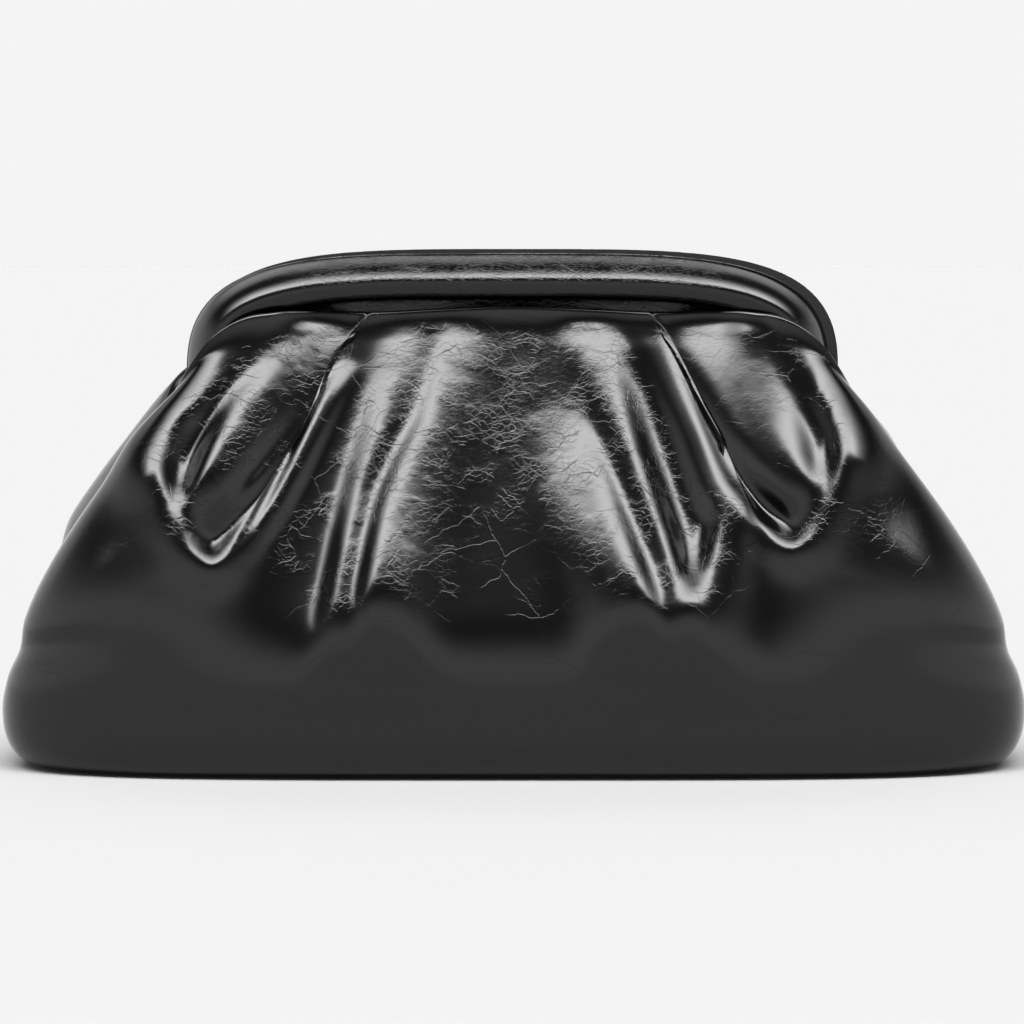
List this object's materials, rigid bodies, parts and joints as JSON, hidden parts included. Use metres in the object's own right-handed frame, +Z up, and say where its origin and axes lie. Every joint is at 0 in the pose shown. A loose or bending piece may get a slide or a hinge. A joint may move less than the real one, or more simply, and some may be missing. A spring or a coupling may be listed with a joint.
{
  "type": "clutch bag",
  "caption": "Soft glossy crackled leather clutch with a pleated, gathered pouch hung from a padded, leather-wrapped arch frame, shown closed and standing on its flat base.",
  "frame": {"origin": "middle of the flat base, on the surface that the bag stands on", "axes": "+X to the viewer's right along the frame, +Y from the front panel to the back panel, +Z up"},
  "size_m": [0.31, 0.108, 0.1552],
  "materials": {
    "black_leather": "glossy waxed black leather with a fine crackle",
    "hinge_steel": "blackened steel"
  },
  "bodies": {
    "root": {"pouch_front": "black_leather", "pouch_back": "black_leather", "frame_front": "black_leather", "frame_back": "black_leather", "hinge_left": "hinge_steel", "hinge_right": "hinge_steel"}
  },
  "joints": []
}
